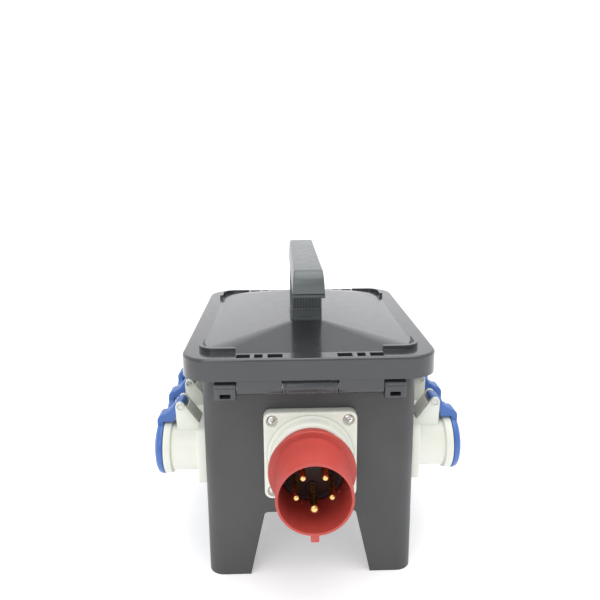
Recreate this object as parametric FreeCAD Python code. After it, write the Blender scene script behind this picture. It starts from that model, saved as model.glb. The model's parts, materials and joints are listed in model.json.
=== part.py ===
import FreeCAD
import Part
import math
import os

V = FreeCAD.Vector

# Portable power distribution box, in millimetres. +Z is up, +Y runs from the inlet end to the
# far end and X runs across, from one row of sockets to the other. The case is modelled about its
# own centre and moved along Y at the end, so that the origin is the middle of the footprint.

# Case
case_width = 174.0
case_length = 227.0
case_top = 193.0
case_corner = 13.0
case_wall = 3.2
floor_under = 60.0
floor_thick = 3.0
leg_foot = 36.0           # width of a leg at the ground
leg_root = 49.0           # width of a leg under the case
leg_arch = 58.6           # height of the arch between two legs
arch_radius = 3.0
pillar_radius = 4.5
pillar_inset = 8.0

# Lid
lid_overhang = 14.5
lid_rise = 5.0            # flat border above the case
lid_skirt = 18.0
lid_wall = 3.0
lid_corner = 25.0
lid_edge = 2.2
border = 13.0
roof_rise = 13.0
spine_width = 30.0
spine_length = 132.0
seal_height = 1.7
seal_gap = 0.3
stack_rib_inset_x = 12.5
stack_rib_inset_y = 17.0
stack_rib_thick = 3.0
stack_rib_height = 3.8
stack_rib_leg_x = 30.4
stack_rib_leg_y = 28.0
stack_rib_corner = 14.0
slot_spans = ((21.4, 33.0), (37.0, 43.4), (46.9, 57.4))
slot_inset = 3.6
slot_width = 8.6

# Hinge line at the inlet end and the matching snap line at the far end
hinge_drop = 20.0         # hinge line under the case rim
hinge_reach = 7.5         # rod centre in front of the wall
rod_radius = 2.5
rod_fit = 0.08
barrel_radius = 6.4
barrel_half = 21.6
knuckle_gap = 0.6
clip_inset = 12.0         # end clips stop short of the corners
clip_span = 17.6
clip_drop = 9.0

# Handle
grip_rise = 62.5          # top of the grip above the border
grip_thick = 21.5
grip_length = 205.0
grip_width = 24.0
grip_end_width = 26.6
grip_nose = 12.0
grip_edge = 2.0
post_width = 25.6
post_outer = 62.5
post_inner = 47.5
post_ribs = 7

# Inlet on the front wall
inlet_height = 113.7
plate_margin = 4.5        # plate beyond the boss
plate_thick = 9.0
plate_corner = 6.0
plate_edge = 1.4
plate_screw_inset = 7.0
boss_wall = 3.6
boss_height = 12.0
boss_round = 4.0
tube_radius = 28.15
tube_wall = 2.1
tube_reach = 67.0         # mouth from the plate's face
ring_step = 1.0           # ring beyond the boss
ring_front = 27.7
ring_thick = 3.4
neck_step = 1.25          # neck beyond the tube
key_width = 6.0
key_height = 5.5
pin_circle = 13.8
phase_pin_radius = 2.5
earth_pin_radius = 3.5
pin_recess = 10.0
pin_step = 0.6            # the shank in the carrier is thinner than the contact pin
pin_round = 0.5           # share of the pin's radius that is tapered at the tip
carrier_recess = 43.0

# Sockets, three along each side
socket_count = 3
socket_start = 16.0       # front wall to the first flange
socket_space = 5.5        # between two flanges
socket_height = 102.0
flange_margin = 1.0       # flange beyond the collar
flange_thick = 7.5
flange_corner = 4.0
flange_edge = 1.0
flange_screw_inset = 5.75
flange_head = 3.2         # radius of the flange screws' low round heads
barrel_inner = 19.8
barrel_wall = 2.0
barrel_front = 37.2
collar_step = 2.2         # collar beyond the barrel
collar_back = 30.5
cap_lip = 0.3             # cap beyond the collar
cap_gap = 0.4
cap_edge = 5.6
cap_dome = 3.2
cap_wall = 2.4
hinge_out = 22.4          # socket hinge pin from the wall
hinge_rise = 16.0         # socket hinge pin above the collar
cheek_inner = 8.4
cheek_thick = 2.8
ear_radius = 4.3
pin_radius = 1.6
pin_fit = 0.06
knuckle_radius = 3.6
arm_half = 8.0
recess_depth = 18.0

# Rail-mounted switchgear under the lid
rail_drop = 54.0          # rail under the cover
rail_width = 35.0
rail_depth = 7.5
rail_end_gap = 13.8       # rail end to the side wall
module = 18.0
device_half = 42.5
device_shoulder = 44.0
device_nose = 60.0
nose_half = 22.5
device_gap = 0.4
toggle_radius = 5.0
toggle_length = 12.5
toggle_tilt = 35.0
cover_drop = 19.0         # cover under the case rim
cover_thick = 2.5
cover_gap = 1.0

screw_core = 1.7          # pilot hole of the self-tapping screws

half_width = case_width / 2
half_length = case_length / 2
lid_rim = case_top + lid_rise
hinge_height = case_top - hinge_drop
grip_top = lid_rim + grip_rise
cover_height = case_top - cover_drop
rail_face = cover_height - rail_drop
lid_width = case_width + 2 * lid_overhang
lid_length = case_length + 2 * lid_overhang
clip_end = half_width - clip_inset
knuckle_end = clip_end - clip_span
neck_radius = tube_radius + neck_step
boss_radius = neck_radius + boss_wall
ring_radius = boss_radius + ring_step
plate_size = 2 * (boss_radius + plate_margin)
plate_screw_pitch = plate_size - 2 * plate_screw_inset
barrel_outer = barrel_inner + barrel_wall
collar_outer = barrel_outer + collar_step
cap_radius = collar_outer + cap_lip
flange_size = 2 * (collar_outer + flange_margin)
flange_screw_pitch = flange_size - 2 * flange_screw_inset
socket_pitch = flange_size + socket_space
socket_first = socket_start + flange_size / 2
hinge_up = collar_outer + hinge_rise
axis_y = -half_length - hinge_reach
mouth_y = -half_length - plate_thick - tube_reach
shift_y = (-mouth_y - lid_length / 2) / 2
inner_width = case_width - 2 * case_wall
inner_length = case_length - 2 * case_wall
rail_length = inner_width - 2 * rail_end_gap
under_border = lid_rim - lid_wall
parts = {}


def box(x0, x1, y0, y1, z0, z1):
    return Part.makeBox(x1 - x0, y1 - y0, z1 - z0, V(x0, y0, z0))


def rod(radius, length, start, axis):
    return Part.makeCylinder(radius, length, V(*start), V(*axis))


def rounded_wire(width, length, corner, z):
    """Rounded rectangle about the origin at height z."""
    a = width / 2
    b = length / 2
    k = corner * (1 - math.sqrt(0.5))
    edges = []
    for sx, sy in ((1, 1), (-1, 1), (-1, -1), (1, -1)):
        along_x = V(sx * (a - corner), sy * b, z)
        along_y = V(sx * a, sy * (b - corner), z)
        ends = (along_y, along_x) if sx * sy > 0 else (along_x, along_y)
        edges.append(Part.Arc(ends[0], V(sx * (a - k), sy * (b - k), z), ends[1]).toShape())
    loop = []
    for i in range(4):
        loop.append(edges[i])
        start = edges[i].valueAt(edges[i].LastParameter)
        end = edges[(i + 1) % 4].valueAt(edges[(i + 1) % 4].FirstParameter)
        loop.append(Part.makeLine(start, end))
    return Part.Wire(loop)


def rounded_block(width, length, corner, z0, z1):
    return Part.Face(rounded_wire(width, length, corner, z0)).extrude(V(0, 0, z1 - z0))


def polygon_prism(points, direction):
    wire = Part.makePolygon([V(*p) for p in points] + [V(*points[0])])
    return Part.Face(wire).extrude(V(*direction))


def turned(points, centre, axis, up):
    """Solid of revolution: points are (radius, distance along the axis)."""
    a = V(*axis)
    u = V(*up)
    c = V(*centre)
    wire = Part.makePolygon([c + u * r + a * h for r, h in points + points[:1]])
    return Part.Face(wire).revolve(c, a, 360)


def edges_where(shape, test):
    return [e for e in shape.Edges if test(e)]


def add(name, shape):
    parts[name] = shape.removeSplitter()


def group(name, shapes):
    parts[name] = Part.makeCompound(shapes)


def socket_centres():
    first = -half_length + socket_first
    return [first + i * socket_pitch for i in range(socket_count)]


def both_sides(shape):
    return [shape, shape.mirror(V(0, 0, 0), V(1, 0, 0))]


def other_end(shape):
    return shape.mirror(V(0, 0, 0), V(0, 1, 0))


def wall_screw_spots(pitch):
    h = pitch / 2
    return [(-h, -h), (h, -h), (-h, h), (h, h)]


# case
def make_case():
    shell = rounded_block(case_width, case_length, case_corner, 0, case_top)
    inner_corner = case_corner - case_wall
    floor_top = floor_under + floor_thick
    shell = shell.cut(rounded_block(inner_width, inner_length, inner_corner, floor_top, case_top + 1))
    shell = shell.cut(rounded_block(inner_width, inner_length, inner_corner, -1, floor_under))
    for half, across in ((half_width, False), (half_length, True)):
        foot = half - leg_foot
        root = half - leg_root
        lean = (foot - root) / leg_arch
        low = foot + lean
        reach = case_width + case_length
        flat = [(-low, -reach, -1), (low, -reach, -1), (root, -reach, leg_arch),
                (-root, -reach, leg_arch)]
        arch = polygon_prism(flat, (0, 2 * reach, 0))
        top = edges_where(arch, lambda e: min(v.Z for v in e.Vertexes) > leg_arch - 0.1
                          and abs(e.Vertexes[0].Y - e.Vertexes[1].Y) > 1)
        arch = arch.makeFillet(arch_radius, top)
        if across:
            arch.rotate(V(0, 0, 0), V(0, 0, 1), 90)
        shell = shell.cut(arch)
    for x in (-1, 1):
        for y in (-1, 1):
            px = x * (inner_width / 2 - pillar_inset)
            py = y * (inner_length / 2 - pillar_inset)
            pillar = rod(pillar_radius, cover_height - floor_top + 0.5, (px, py, floor_top - 0.5),
                         (0, 0, 1))
            rib = box(min(px, x * (half_width - 1)), max(px, x * (half_width - 1)), py - 0.9, py + 0.9,
                      floor_top - 0.5, cover_height - 4)
            shell = shell.fuse([pillar, rib])
            shell = shell.cut(rod(screw_core, 14, (px, py, cover_height - 14), (0, 0, 1)))
    front = -half_length - 1
    shell = shell.cut(rod(neck_radius - 1.4, case_wall + 2, (0, front, inlet_height), (0, 1, 0)))
    for x, z in wall_screw_spots(plate_screw_pitch):
        shell = shell.cut(rod(screw_core, case_wall + 2, (x, front, inlet_height + z), (0, 1, 0)))
    for y in socket_centres():
        hole = rod(barrel_inner, case_width + 20, (-half_width - 10, y, socket_height), (1, 0, 0))
        shell = shell.cut(hole)
    add("case_shell", shell)


# hinge line
def make_hinge_line():
    wall_y = -half_length
    length = 2 * clip_end - 2.0
    pin = rod(rod_radius, length, (-length / 2, axis_y, hinge_height), (1, 0, 0))
    centre = rod(barrel_radius, 2 * barrel_half, (-barrel_half, axis_y, hinge_height), (1, 0, 0))
    web = box(-barrel_half, barrel_half, axis_y, wall_y, hinge_height - barrel_radius, hinge_height + 1.5)
    centre = centre.fuse(web).removeSplitter()
    centre = centre.cut(rod(rod_radius + rod_fit, 200, (-100, axis_y, hinge_height), (1, 0, 0)))
    x0 = knuckle_end + knuckle_gap
    clip = box(x0, clip_end, axis_y - 6.0, wall_y, hinge_height - clip_drop, hinge_height + 4.0)
    nose = edges_where(clip, lambda e: all(abs(v.Y - axis_y + 6.0) < 0.01 for v in e.Vertexes)
                       and abs(e.Vertexes[0].X - e.Vertexes[1].X) > 1)
    clip = clip.makeFillet(1.2, nose)
    mid = (x0 + clip_end) / 2
    window = box(mid - 4.2, mid + 4.2, axis_y - 7, wall_y + 1, hinge_height - clip_drop + 1.6,
                 hinge_height - rod_radius - 1.4)
    clip = clip.cut(window)
    clip = clip.cut(rod(rod_radius + rod_fit, 200, (-100, axis_y, hinge_height), (1, 0, 0)))
    for end in ("front", "rear"):
        pieces = [pin, centre] + both_sides(clip)
        if end == "rear":
            pieces = [other_end(p) for p in pieces]
        add("hinge_rod_" + end, pieces[0])
        add("hinge_barrel_" + end, pieces[1])
        group("hinge_clips_" + end, pieces[2:])


def lid_knuckle(open_below):
    """Bar on the lid that closes round the rod; the far one is a hook open below."""
    out = 6.0
    r = barrel_radius - 0.4
    y = axis_y
    z = hinge_height
    top = under_border + 0.5
    span = knuckle_end - barrel_half - knuckle_gap
    x0 = barrel_half + knuckle_gap
    path = [
        Part.makeLine(V(x0, y - out, top), V(x0, y - out, z - 2.0)),
        Part.Arc(V(x0, y - out, z - 2.0), V(x0, y - 3.2, z - r + 0.6), V(x0, y, z - r)).toShape(),
        Part.Arc(V(x0, y, z - r), V(x0, y + r * 0.7071, z - r * 0.7071), V(x0, y + r, z)).toShape(),
        Part.Arc(V(x0, y + r, z), V(x0, y + r * 0.5, z + r * 0.866),
                 V(x0, y - 1.0, z + r * 1.02)).toShape(),
        Part.makeLine(V(x0, y - 1.0, z + r * 1.02), V(x0, y - 2.6, top)),
        Part.makeLine(V(x0, y - 2.6, top), V(x0, y - out, top)),
    ]
    bar = Part.Face(Part.Wire(path)).extrude(V(span, 0, 0))
    hole = rod_radius + 0.3
    bar = bar.cut(rod(hole, 200, (-100, y, z), (1, 0, 0)))
    if open_below:
        bar = bar.cut(box(x0 - 1, x0 + span + 1, y - hole, y + hole, z - 2 * r, z))
    return bar


# lid
def make_lid():
    lower = lid_rim - lid_skirt
    lid = rounded_block(lid_width, lid_length, lid_corner, lower, lid_rim)
    top = edges_where(lid, lambda e: all(abs(v.Z - lid_rim) < 0.01 for v in e.Vertexes))
    lid = lid.makeFillet(lid_edge, top)
    foot = rounded_wire(lid_width - 2 * border, lid_length - 2 * border, lid_corner - border + 4,
                        lid_rim - 0.5)
    crown = rounded_wire(spine_width, spine_length, 4.0, lid_rim + roof_rise)
    lid = lid.fuse(Part.makeLoft([foot, crown], True, True))
    hollow = rounded_block(lid_width - 2 * lid_wall, lid_length - 2 * lid_wall, lid_corner - lid_wall,
                           lower - 1, under_border)
    land = 2 * (lid_overhang + case_wall + 5.0)
    eaves = rounded_wire(lid_width - land, lid_length - land, 8.0, under_border - 0.5)
    ridge = rounded_wire(spine_width - 4, spine_length - 4, 3.0, lid_rim + roof_rise - lid_wall)
    lid = lid.cut(hollow).cut(Part.makeLoft([eaves, ridge], True, True))
    a = lid_width / 2 - stack_rib_inset_x
    b = lid_length / 2 - stack_rib_inset_y
    t = stack_rib_thick
    z0 = lid_rim - 1.0
    z1 = lid_rim + stack_rib_height
    frame = rounded_block(2 * a, 2 * b, stack_rib_corner, z0, z1)
    frame = frame.cut(rounded_block(2 * a - 2 * t, 2 * b - 2 * t, stack_rib_corner - t, z0 - 1, z1 + 1))
    frame = frame.cut(box(stack_rib_leg_x - a, a - stack_rib_leg_x, -b - 1, b + 1, z0 - 1, z1 + 1))
    frame = frame.cut(box(-a - 1, a + 1, stack_rib_leg_y - b, b - stack_rib_leg_y, z0 - 1, z1 + 1))
    lid = lid.fuse(frame.Solids)
    for x0, x1 in slot_spans:
        y0 = lid_length / 2 - slot_inset - slot_width
        slot = box(x0, x1, y0, y0 + slot_width, under_border - 1, lid_rim + 1)
        for piece in both_sides(slot):
            lid = lid.cut(piece).cut(other_end(piece))
    lid = lid.fuse(both_sides(lid_knuckle(False)))
    lid = lid.fuse([other_end(k) for k in both_sides(lid_knuckle(True))])
    for x in (-1, 1):
        for y in (-1, 1):
            lid = lid.cut(rod(screw_core, 8, (x * 7.0, y * post_mid(), lid_rim + roof_rise - 6),
                              (0, 0, 1)))
    add("lid_shell", lid)
    ring = rounded_block(case_width, case_length, case_corner, case_top + seal_gap,
                         case_top + seal_gap + seal_height)
    ring = ring.cut(rounded_block(inner_width, inner_length, case_corner - case_wall, case_top, lid_rim))
    add("lid_seal", ring)


def post_mid():
    return (post_outer + post_inner) / 2


# handle
def make_handle():
    under = grip_top - grip_thick
    end = grip_length / 2
    n = grip_nose
    k = n * (1 - math.sqrt(0.5))
    wide = grip_end_width / 2
    side = [
        Part.makeLine(V(-wide, -end + 2, under), V(-wide, -end, under + 2)),
        Part.makeLine(V(-wide, -end, under + 2), V(-wide, -end, grip_top - n)),
        Part.Arc(V(-wide, -end, grip_top - n), V(-wide, -end + k, grip_top - k),
                 V(-wide, -end + n, grip_top)).toShape(),
        Part.makeLine(V(-wide, -end + n, grip_top), V(-wide, end - n, grip_top)),
        Part.Arc(V(-wide, end - n, grip_top), V(-wide, end - k, grip_top - k),
                 V(-wide, end, grip_top - n)).toShape(),
        Part.makeLine(V(-wide, end, grip_top - n), V(-wide, end, under + 2)),
        Part.makeLine(V(-wide, end, under + 2), V(-wide, end - 2, under)),
        Part.makeLine(V(-wide, end - 2, under), V(-wide, -end + 2, under)),
    ]
    grip = Part.Face(Part.Wire(side)).extrude(V(2 * wide, 0, 0))
    # the sides lean in towards the top
    lean = (grip_end_width - grip_width) / 2
    for s in (-1, 1):
        wedge = [(s * wide, -end - 1, under), (s * (wide + 5), -end - 1, under),
                 (s * (wide + 5), -end - 1, grip_top + 1), (s * (wide - lean), -end - 1, grip_top + 1)]
        grip = grip.cut(polygon_prism(wedge, (0, 2 * end + 2, 0)))
    top = edges_where(grip, lambda e: all(v.Z > grip_top - 0.01 for v in e.Vertexes)
                      and abs(e.Vertexes[0].Y - e.Vertexes[-1].Y) > 50)
    grip = grip.makeFillet(grip_edge, top)
    hollow_half = grip_width / 2 - 4.0
    grip = grip.cut(box(-hollow_half, hollow_half, post_outer + 4, end - 6, under - 1, under + 9))
    grip = grip.cut(box(-hollow_half, hollow_half, -end + 6, -post_outer - 4, under - 1, under + 9))
    add("handle_grip", grip)
    foot = lid_rim + roof_rise
    post = box(-post_width / 2, post_width / 2, -post_outer, -post_inner, foot, under)
    pitch = post_width / (post_ribs + 1)
    for i in range(post_ribs):
        x = (i + 1) * pitch - post_width / 2
        post = post.cut(box(x - 0.7, x + 0.7, -post_outer - 1, -post_outer + 1.0, foot + 8.5,
                            under - 2.5))
    base = box(-post_width / 2, post_width / 2, -post_outer - 0.8, -post_inner + 2.0, foot, foot + 3.0)
    post = post.fuse(base)
    for x in (-7.0, 7.0):
        post = post.cut(rod(screw_core, 14, (x, -post_mid(), foot - 1), (0, 0, 1)))
    add("handle_post_front", post)
    add("handle_post_rear", other_end(post))
    screws = []
    inner = lid_rim + roof_rise - lid_wall
    for x in (-7.0, 7.0):
        for y in (-post_mid(), post_mid()):
            shank = rod(screw_core - 0.1, lid_wall + 10, (x, y, inner), (0, 0, 1))
            head = rod(3.2, 2.0, (x, y, inner - 2.0), (0, 0, 1))
            screws.append(shank.fuse(head))
    group("handle_screws", screws)


# inlet
def make_inlet():
    c = (0, -half_length, inlet_height)
    out = (0, -1, 0)
    up = (0, 0, 1)
    plate = rounded_block(plate_size, plate_size, plate_corner, 0, plate_thick)
    rim = edges_where(plate, lambda e: all(abs(v.Z - plate_thick) < 0.01 for v in e.Vertexes))
    plate = plate.makeChamfer(plate_edge, rim)
    boss = rod(boss_radius, boss_height + 1, (0, 0, plate_thick - 1), (0, 0, 1))
    crown = edges_where(boss, lambda e: all(abs(v.Z - plate_thick - boss_height) < 0.01 for v in e.Vertexes)
                        and len(e.Vertexes) == 1)
    boss = boss.makeChamfer(boss_round * 0.7, crown)
    plate = plate.fuse(boss)
    plate = plate.cut(rod(neck_radius - 1.4, 60, (0, 0, -1), (0, 0, 1)))
    plate = plate.cut(rod(neck_radius + 0.1, 60, (0, 0, plate_thick + boss_height - 5), (0, 0, 1)))
    for x, z in wall_screw_spots(plate_screw_pitch):
        plate = plate.cut(rod(screw_core + 0.4, 30, (x, z, -1), (0, 0, 1)))
        plate = plate.cut(rod(4.6, 30, (x, z, plate_thick - 2.6), (0, 0, 1)))
    plate.rotate(V(0, 0, 0), V(1, 0, 0), 90)
    plate.translate(V(*c))
    add("inlet_plate", plate)
    face = plate_thick
    seat = face + boss_height - 5
    shroud = turned([
        (tube_radius - tube_wall, seat), (neck_radius, seat),
        (neck_radius, face + ring_front - ring_thick),
        (ring_radius, face + ring_front - ring_thick), (ring_radius, face + ring_front - 0.6),
        (ring_radius - 0.6, face + ring_front), (tube_radius + 0.3, face + ring_front),
        (tube_radius, face + tube_reach - 0.6), (tube_radius - 0.6, face + tube_reach),
        (tube_radius - tube_wall + 0.4, face + tube_reach),
        (tube_radius - tube_wall, face + tube_reach - 0.5),
    ], c, out, up)
    key = box(-key_width / 2, key_width / 2, mouth_y + 0.4, -half_length - face - ring_front,
              inlet_height - tube_radius - key_height, inlet_height - tube_radius + 1)
    foot = edges_where(key, lambda e: all(abs(v.Z - inlet_height + tube_radius + key_height) < 0.01
                                          for v in e.Vertexes) and abs(e.Vertexes[0].Y - e.Vertexes[1].Y) > 5)
    key = key.makeFillet(1.0, foot)
    shroud = shroud.fuse(key)
    guide = box(-2.6, 2.6, mouth_y + 12, -half_length - face - ring_front,
                inlet_height + tube_radius - tube_wall - 2.4,
                inlet_height + tube_radius - tube_wall + 0.6)
    shroud = shroud.fuse(guide)
    add("inlet_shroud", shroud)
    floor = face + tube_reach - carrier_recess
    carrier = turned([
        (0, -16.0), (neck_radius - 4.0, -16.0), (neck_radius - 4.0, seat),
        (tube_radius - tube_wall - 0.3, seat),
        (tube_radius - tube_wall - 0.3, floor - 1.0), (tube_radius - tube_wall - 1.3, floor), (0, floor),
    ], c, out, up)
    pins = []
    for i in range(5):
        angle = math.radians(-90 + 72 * i)
        x = pin_circle * math.cos(angle)
        z = inlet_height + pin_circle * math.sin(angle)
        r = earth_pin_radius if i == 0 else phase_pin_radius
        tip = mouth_y + pin_recess
        tail = -half_length + 22.0
        seat_y = mouth_y + carrier_recess
        carrier = carrier.cut(rod(r - pin_step, 200, (x, mouth_y, z), (0, 1, 0)))
        nose = r * pin_round
        pins.append(turned([
            (0, tip), (r - nose, tip), (r, tip + nose), (r, seat_y), (r - pin_step, seat_y),
            (r - pin_step, tail),
            (0, tail),
        ], (x, 0, z), (0, 1, 0), up))
    add("inlet_carrier", carrier)
    add("inlet_earth_pin", pins[0])
    group("inlet_live_pins", pins[1:])
    screws = []
    for x, z in wall_screw_spots(plate_screw_pitch):
        head_at = -half_length - plate_thick + 2.6
        shank = rod(screw_core - 0.1, plate_thick + 3, (x, head_at, inlet_height + z), (0, 1, 0))
        head = Part.makeCone(3.0, 4.0, 2.2, V(x, head_at - 2.2, inlet_height + z), V(0, 1, 0))
        screws.append(head.fuse(shank))
    group("inlet_screws", screws)


# sockets
def socket_housing():
    """Housing about its own axis: X points out of the wall, the wall face is x = 0."""
    flange = rounded_block(flange_size, flange_size, flange_corner, 0, flange_thick)
    rim = edges_where(flange, lambda e: all(abs(v.Z - flange_thick) < 0.01 for v in e.Vertexes))
    flange = flange.makeChamfer(flange_edge, rim)
    flange.rotate(V(0, 0, 0), V(0, 1, 0), 90)
    barrel = turned([
        (0, flange_thick - 1), (barrel_outer, flange_thick - 1), (barrel_outer, collar_back - 1.2),
        (collar_outer, collar_back), (collar_outer, barrel_front), (0, barrel_front),
    ], (0, 0, 0), (1, 0, 0), (0, 0, 1))
    housing = flange.fuse(barrel)
    top = flange_size / 2
    cheek = [(flange_thick - 1, 0, top - 0.5), (flange_thick - 1, 0, 12.0), (hinge_out + 2.0, 0, 12.0),
             (hinge_out + ear_radius - 0.3, 0, hinge_up + 0.6),
             (hinge_out + 1.5, 0, hinge_up + ear_radius - 0.3),
             (hinge_out - 2.6, 0, hinge_up + 3.4)]
    ear = rod(ear_radius, cheek_thick, (hinge_out, 0, hinge_up), (0, 1, 0))
    cheek = polygon_prism(cheek, (0, cheek_thick, 0)).fuse(ear)
    slope_x = flange_thick - 0.5
    clear = knuckle_radius + 0.7
    run_x = hinge_out - slope_x
    run_z = hinge_up - top
    run = math.hypot(run_x, run_z)
    dx = run_x / run
    dz = run_z / run
    stop = run - clear
    web = polygon_prism([
        (slope_x, -cheek_inner - 0.5, top + 1.0),
        (slope_x + dx * stop, -cheek_inner - 0.5, top + 1.0 + dz * stop),
        (slope_x + dx * stop + dz * 2, -cheek_inner - 0.5, top + 1.0 + dz * stop - dx * 2),
        (slope_x + dz * 2, -cheek_inner - 0.5, top + 1.0 - dx * 2),
    ], (0, 2 * cheek_inner + 1.0, 0))
    near = cheek.copy()
    near.translate(V(0, cheek_inner, 0))
    far = cheek.copy()
    far.translate(V(0, -cheek_inner - cheek_thick, 0))
    housing = housing.fuse([near, far, web])
    hollow = turned([(0, -1), (barrel_inner - 0.5, -1), (barrel_inner - 0.5, barrel_front - recess_depth),
                     (barrel_inner, barrel_front - recess_depth), (barrel_inner, barrel_front + 1),
                     (0, barrel_front + 1)], (0, 0, 0), (1, 0, 0), (0, 0, 1))
    housing = housing.cut(hollow)
    housing = housing.cut(rod(pin_radius, 60, (hinge_out, -30, hinge_up), (0, 1, 0)))
    return housing.removeSplitter()


def socket_cap():
    """Domed spring lid with the stepped arm that carries its hinge knuckle."""
    back = barrel_front + cap_gap
    side = back + cap_edge
    front = side + cap_dome
    r = cap_radius
    z0 = V(back, 0, 0)
    mid = V(side + cap_dome * 0.8, 0, r * 0.5)
    inner_r = collar_outer - 2.6
    inner_x = front - cap_wall
    loop = [
        Part.Arc(V(front, 0, 0), mid, V(side, 0, r - 1.6)).toShape(),
        Part.makeLine(V(side, 0, r - 1.6), V(side - 1.6, 0, r)),
        Part.makeLine(V(side - 1.6, 0, r), V(back, 0, r)),
        Part.makeLine(V(back, 0, r), V(back, 0, inner_r)),
        Part.makeLine(V(back, 0, inner_r), V(side - cap_wall, 0, inner_r - 1.0)),
        Part.makeLine(V(side - cap_wall, 0, inner_r - 1.0), V(inner_x, 0, 0)),
        Part.makeLine(V(inner_x, 0, 0), V(front, 0, 0)),
    ]
    cap = Part.Face(Part.Wire(loop)).revolve(z0, V(1, 0, 0), 360)
    h = -arm_half
    rise = hinge_up - 12.0
    arm = [
        Part.makeLine(V(back + 0.4, h, r - 5.0), V(back + 0.4, h, rise)),
        Part.Arc(V(back + 0.4, h, rise), V(back - 1.4, h, rise + 1.4),
                 V(back - 4.0, h, rise + 1.8)).toShape(),
        Part.Arc(V(back - 4.0, h, rise + 1.8), V(hinge_out + 5.6, h, rise + 4.6),
                 V(hinge_out + 2.0, h, hinge_up - 2.9)).toShape(),
        Part.makeLine(V(hinge_out + 2.0, h, hinge_up - 2.9), V(hinge_out + 2.6, h, hinge_up + 2.4)),
        Part.Arc(V(hinge_out + 2.6, h, hinge_up + 2.4), V(hinge_out + 9.5, h, rise + 8.0),
                 V(back - 2.0, h, rise + 5.4)).toShape(),
        Part.Arc(V(back - 2.0, h, rise + 5.4), V(side - 1.4, h, rise + 2.6),
                 V(side - 0.2, h, r - 3.4)).toShape(),
        Part.makeLine(V(side - 0.2, h, r - 3.4), V(back + 0.4, h, r - 5.0)),
    ]
    arm = Part.Face(Part.Wire(arm)).extrude(V(0, 2 * arm_half, 0))
    knuckle = rod(knuckle_radius, 2 * arm_half, (hinge_out, -arm_half, hinge_up), (0, 1, 0))
    cap = cap.fuse([arm, knuckle])
    cap = cap.cut(rod(pin_radius + pin_fit, 60, (hinge_out, -30, hinge_up), (0, 1, 0)))
    return cap.removeSplitter()


def socket_insert():
    face = barrel_front - recess_depth
    body = turned([(0, -14.0), (barrel_inner - 2.4, -14.0), (barrel_inner - 2.4, -1.0),
                   (barrel_inner - 0.6, 0.0), (barrel_inner - 0.6, face), (0, face)],
                  (0, 0, 0), (1, 0, 0), (0, 0, 1))
    for v in (-9.5, 9.5):
        body = body.cut(rod(2.6, 21, (face - 20, v, 0), (1, 0, 0)))
    for s in (-1, 1):
        w = s * (barrel_inner - 2.6)
        body = body.cut(box(face - 12, face + 1, -3.4, 3.4, min(w, w + s * 4), max(w, w + s * 4)))
    return body


def socket_springs():
    """Pair of earth spring clips at the top and bottom of the recess."""
    face = barrel_front - recess_depth
    clips = []
    for s in (-1, 1):
        w = s * (barrel_inner - 2.0)
        clip = box(face - 11.5, barrel_front - 4, -2.6, 2.6, min(w, w + s * 0.8), max(w, w + s * 0.8))
        clips.append(clip)
    return clips


def make_sockets():
    housing = socket_housing()
    cap = socket_cap()
    insert = socket_insert()
    clips = socket_springs()
    ear_span = 2 * (cheek_inner + cheek_thick) + 1.0
    pin = rod(pin_radius, ear_span, (hinge_out, -ear_span / 2, hinge_up), (0, 1, 0))
    spots = wall_screw_spots(flange_screw_pitch)
    heads = [rod(flange_head, 1.0, (flange_thick, v, w), (1, 0, 0)) for v, w in spots]
    springs = []
    screws = []
    pins = []
    for side, letter in ((1, "right"), (-1, "left")):
        for number, y in enumerate(socket_centres(), 1):
            def placed(shape):
                copy = shape.copy()
                copy.translate(V(half_width, y, socket_height))
                return copy if side > 0 else copy.mirror(V(0, 0, 0), V(1, 0, 0))
            tag = "_" + letter + "_" + str(number)
            add("socket_housing" + tag, placed(housing))
            add("socket_cap" + tag, placed(cap))
            pins.append(placed(pin))
            add("socket_insert" + tag, placed(insert))
            springs.extend(placed(c) for c in clips)
            screws.extend(placed(h) for h in heads)
    group("socket_hinge_pins", pins)
    group("socket_screws", screws)
    group("socket_earth_clips", springs)


# switchgear
def device(x0, x1):
    a = device_half
    n = nose_half
    s = rail_face + device_shoulder
    t = rail_face + device_nose
    foot = rail_face - 5.0
    hook = rail_width / 2 + 0.6
    outline = [(x0, -a, foot), (x0, -hook, foot), (x0, -hook, rail_face), (x0, hook, rail_face),
               (x0, hook, foot),
               (x0, a, foot), (x0, a, s), (x0, n, s), (x0, n, t), (x0, -n, t), (x0, -n, s), (x0, -a, s)]
    body = polygon_prism(outline, (x1 - x0, 0, 0))
    for y in (-1, 1):
        mouth = box(x0 + 3, x0 + module - 3.4, min(y * a, y * (a - 9)), max(y * a, y * (a - 9)),
                    rail_face + 18, rail_face + 28)
        body = body.cut(mouth)
    return body


def toggle_slot(body, x0, x1):
    z = rail_face + device_nose - toggle_radius
    wide = toggle_radius + 3.2
    body = body.cut(rod(toggle_radius + 0.4, x1 - x0, (x0, 0, z), (1, 0, 0)))
    return body.cut(box(x0, x1, -wide, wide, z, z + 20))


def toggle(x0, x1):
    z = rail_face + device_nose - toggle_radius
    hub = rod(toggle_radius, x1 - x0, (x0, 0, z), (1, 0, 0))
    lever = polygon_prism([(x0, -2.2, z), (x0, 2.2, z), (x0, 1.3, z + toggle_length),
                           (x0, -1.3, z + toggle_length)],
                          (x1 - x0, 0, 0))
    piece = hub.fuse(lever).removeSplitter()
    piece.rotate(V(0, 0, z), V(1, 0, 0), -toggle_tilt)
    return piece


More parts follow.
